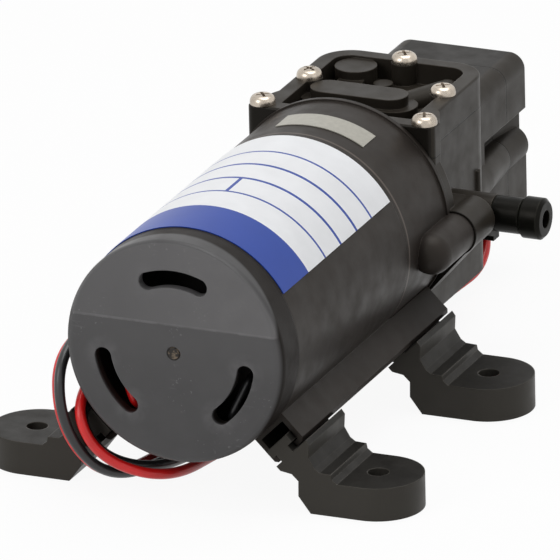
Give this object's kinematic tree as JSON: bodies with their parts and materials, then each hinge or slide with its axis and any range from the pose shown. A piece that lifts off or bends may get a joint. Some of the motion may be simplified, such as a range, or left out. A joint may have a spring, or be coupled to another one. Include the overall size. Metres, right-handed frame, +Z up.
{
  "type": "diaphragm water pump",
  "caption": "12 V mini diaphragm water pump: round motor on sliding rubber feet in T-slot rails, square valve head with side hose ports and a pressure switch box.",
  "frame": {"origin": "middle of the four foot holes, on the floor under the feet", "axes": "+X towards the right hose port, +Y along the motor from the end cap to the pump head, +Z up"},
  "size_m": [0.1026, 0.1678, 0.063],
  "materials": {
    "black_plastic": "satin",
    "black_rubber": "matte",
    "bright_steel": "satin",
    "zinc_steel": "satin",
    "ferrite": "matte",
    "label_white": "gloss",
    "label_silver": "satin",
    "copper": "satin",
    "brass": "satin",
    "carbon": "matte",
    "red_sheath": "gloss",
    "black_sheath": "gloss",
    "white_plastic": "satin",
    "nickel": "polished"
  },
  "bodies": {
    "pump_body": {"end_cap": "black_plastic", "rear_bearing": "bright_steel", "motor_sleeve": "black_plastic", "motor_can": "zinc_steel", "magnets": "ferrite", "rating_label": "label_white", "date_label": "label_silver", "motor_bracket": "black_plastic", "front_bearing": "bright_steel", "brush_card": "black_plastic", "brush_holders": "brass", "brushes": "carbon", "brush_tail_red": "red_sheath", "brush_tail_black": "black_sheath", "diaphragm": "black_rubber", "crank_housing": "black_plastic", "valve_cover": "black_plastic", "cover_screws": "nickel", "bracket_screws": "nickel", "dowels": "bright_steel", "switch_screws": "nickel", "switch_cover": "black_plastic", "right_port": "black_plastic", "left_port": "black_plastic", "port_seals": "black_rubber", "port_clips": "black_plastic", "passage_seals": "black_rubber", "valve_plate": "white_plastic", "switch_membrane": "black_rubber", "plunger_spring": "bright_steel", "switch_bridge": "black_plastic", "micro_switch": "black_plastic", "motor_glands": "black_rubber", "box_glands": "black_rubber", "side_glands": "black_rubber", "supply_lead_black": "black_sheath", "supply_lead_red": "red_sheath", "motor_lead_red": "red_sheath", "motor_lead_black": "black_sheath"},
    "rotor": {"motor_shaft": "bright_steel", "armature_core": "zinc_steel", "windings": "copper", "commutator": "copper", "eccentric": "zinc_steel", "crank_bearing": "bright_steel"},
    "rod": {"connecting_rod": "white_plastic"},
    "inlet_disc": {"inlet_valve": "black_rubber"},
    "outlet_disc": {"outlet_valve": "black_rubber"},
    "plunger": {"switch_plunger": "white_plastic"},
    "front_right_foot": {"foot_front_right": "black_rubber"},
    "front_left_foot": {"foot_front_left": "black_rubber"},
    "rear_right_foot": {"foot_rear_right": "black_rubber"},
    "rear_left_foot": {"foot_rear_left": "black_rubber"}
  },
  "joints": [
    {"name": "rotor_spin", "type": "hinge", "parent": "pump_body", "child": "rotor", "pos_m": [0, 0, 0.0365], "axis": [0, 1, 0], "continuous": true},
    {"name": "rod_stroke", "type": "slide", "parent": "pump_body", "child": "rod", "axis": [0, 0, 1], "range_m": [-0.001, 0.001], "stiffness_N_per_m": 500, "deforming": ["diaphragm"]},
    {"name": "inlet_valve_lift", "type": "slide", "parent": "pump_body", "child": "inlet_disc", "axis": [0, 0, 1], "range_m": [-0.0005, 0]},
    {"name": "outlet_valve_lift", "type": "slide", "parent": "pump_body", "child": "outlet_disc", "axis": [0, 0, 1], "range_m": [0, 0.0008]},
    {"name": "plunger_push", "type": "slide", "parent": "pump_body", "child": "plunger", "axis": [0, 1, 0], "range_m": [0, 0.0012], "stiffness_N_per_m": 1500, "deforming": ["plunger_spring"]},
    {"name": "front_right_foot_slide", "type": "slide", "parent": "pump_body", "child": "front_right_foot", "axis": [0, 1, 0], "range_m": [0, 0.018]},
    {"name": "front_left_foot_slide", "type": "slide", "parent": "pump_body", "child": "front_left_foot", "axis": [0, 1, 0], "range_m": [0, 0.018]},
    {"name": "rear_right_foot_slide", "type": "slide", "parent": "pump_body", "child": "rear_right_foot", "axis": [0, 1, 0], "range_m": [-0.018, 0.003]},
    {"name": "rear_left_foot_slide", "type": "slide", "parent": "pump_body", "child": "rear_left_foot", "axis": [0, 1, 0], "range_m": [-0.018, 0.003]}
  ]
}
